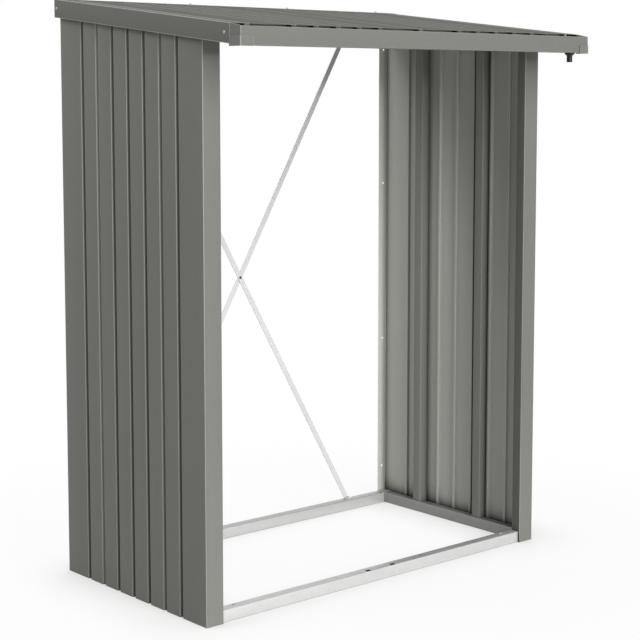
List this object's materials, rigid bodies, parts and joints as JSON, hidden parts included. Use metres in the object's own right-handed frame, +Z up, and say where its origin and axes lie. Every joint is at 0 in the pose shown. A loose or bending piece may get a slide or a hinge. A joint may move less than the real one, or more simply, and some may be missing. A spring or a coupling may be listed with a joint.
{
  "type": "log store",
  "caption": "Open-fronted sheet steel log store with grooved side walls, a grooved roof that falls to a front gutter and a crossed brace across the open back.",
  "frame": {"origin": "bottom centre of the whole box, on the ground", "axes": "+X to the right seen from the open front, +Y from the front to the back, +Z up"},
  "size_m": [1.572, 1.028, 1.9947],
  "materials": {
    "painted_sheet": "satin grey coat",
    "galvanised": "dull zinc",
    "cap_plastic": "satin",
    "spigot_plastic": "matt"
  },
  "bodies": {
    "root": {"base_rail_front": "galvanised", "base_rail_rear": "galvanised", "base_rail_left": "galvanised", "base_rail_right": "galvanised", "left_top_rail": "galvanised", "right_top_rail": "galvanised", "front_header": "galvanised", "rear_header": "galvanised", "cross_brace_front": "galvanised", "cross_brace_back": "galvanised", "left_wall_front": "painted_sheet", "left_wall_middle": "painted_sheet", "left_wall_rear": "painted_sheet", "right_wall_front": "painted_sheet", "right_wall_middle": "painted_sheet", "right_wall_rear": "painted_sheet", "left_stiffener_front": "painted_sheet", "left_stiffener_rear": "painted_sheet", "right_stiffener_front": "painted_sheet", "right_stiffener_rear": "painted_sheet", "roof_panel_left": "painted_sheet", "roof_panel_right": "painted_sheet", "left_verge_trim": "painted_sheet", "right_verge_trim": "painted_sheet", "rear_roof_trim": "painted_sheet", "gutter": "painted_sheet", "gutter_end_left": "painted_sheet", "gutter_end_right": "painted_sheet", "gutter_cap_left": "cap_plastic", "gutter_cap_right": "cap_plastic", "drain_spigot": "spigot_plastic"}
  },
  "joints": []
}
